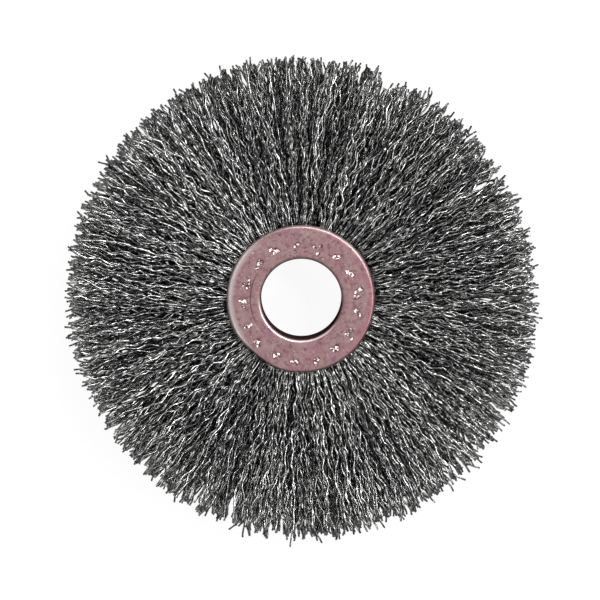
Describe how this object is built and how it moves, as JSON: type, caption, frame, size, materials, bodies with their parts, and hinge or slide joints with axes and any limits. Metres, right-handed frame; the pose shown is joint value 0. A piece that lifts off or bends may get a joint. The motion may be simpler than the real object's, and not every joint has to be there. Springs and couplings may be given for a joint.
{
  "type": "wire wheel brush",
  "caption": "Crimped steel wire wheel brush held in a flanged copper centre with a plain arbor bore.",
  "frame": {"origin": "middle of the arbor bore, on the brush's middle plane", "axes": "+Z along the bore's axis; the brush lies flat on its wires, with +Y up in the picture"},
  "size_m": [0.0761, 0.0774, 0.0126],
  "materials": {
    "copper": "dull pressed copper",
    "ring_steel": "plain drawn steel wire",
    "wire_steel": "dark crimped carbon steel wire"
  },
  "bodies": {
    "root": {"copper_centre": "copper", "holding_ring": "ring_steel", "wires_01": "wire_steel", "wires_02": "wire_steel", "wires_03": "wire_steel", "wires_04": "wire_steel", "wires_05": "wire_steel", "wires_06": "wire_steel", "wires_07": "wire_steel", "wires_08": "wire_steel", "wires_09": "wire_steel", "wires_10": "wire_steel", "wires_11": "wire_steel", "wires_12": "wire_steel", "wires_13": "wire_steel", "wires_14": "wire_steel", "wires_15": "wire_steel", "wires_16": "wire_steel", "wires_17": "wire_steel", "wires_18": "wire_steel", "wires_19": "wire_steel", "wires_20": "wire_steel", "wires_21": "wire_steel"}
  },
  "joints": []
}
